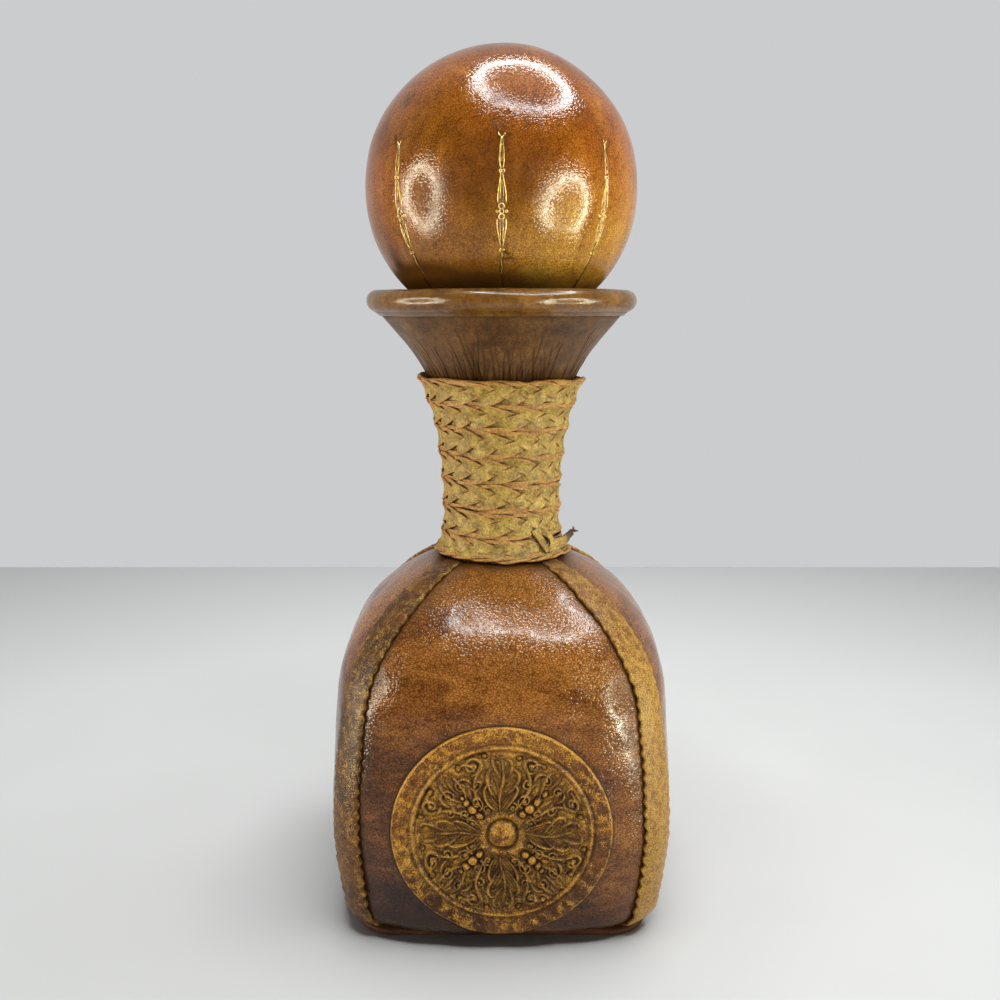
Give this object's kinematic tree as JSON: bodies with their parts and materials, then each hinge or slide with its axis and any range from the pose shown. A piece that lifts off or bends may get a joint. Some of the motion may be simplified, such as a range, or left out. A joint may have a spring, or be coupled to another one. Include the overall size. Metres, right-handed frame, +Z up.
{
  "type": "leather-wrapped decanter",
  "caption": "Square glass decanter dressed in moulded leather, with pinked corner strips, an embossed medallion, a braid-wound neck, a trumpet mouth and a leather ball stopper on a cork.",
  "frame": {"origin": "centre of the sole's underside, on the surface that the decanter stands on", "axes": "+Z up along the neck, -Y out of the front face with the medallion, +X to the right seen from the front"},
  "size_m": [0.1112, 0.1136, 0.2797],
  "materials": {
    "glass": "clear, slightly green",
    "panel_leather": "pebbled, waxed, semi-gloss",
    "strip_leather": "mottled olive gold over brown, satin",
    "sole_leather": "matt",
    "medallion_leather": "embossed, rubbed with gold",
    "neck_leather": "fine grain, satin",
    "rim_leather": "smooth, glossy",
    "braid_lace": "gilded suede, matt",
    "ball_leather": "fine grain, glossy, gold-tooled",
    "turned_wood": "bare",
    "cork": "bare cork"
  },
  "bodies": {
    "bottle": {"glass_bottle": "glass", "front_panel": "panel_leather", "back_panel": "panel_leather", "left_panel": "panel_leather", "right_panel": "panel_leather", "corner_strip_front_left": "strip_leather", "corner_strip_front_right": "strip_leather", "corner_strip_back_left": "strip_leather", "corner_strip_back_right": "strip_leather", "base_sole": "sole_leather", "medallion": "medallion_leather", "collar_sleeve": "neck_leather", "rim_band": "rim_leather", "neck_braid": "braid_lace"},
    "stopper": {"stopper_core": "turned_wood", "stopper_cover": "ball_leather", "cork_plug": "cork"}
  },
  "joints": [
    {"name": "stopper_lift", "type": "slide", "parent": "bottle", "child": "stopper", "axis": [0, 0, 1], "range_m": [0, 0.08]}
  ]
}
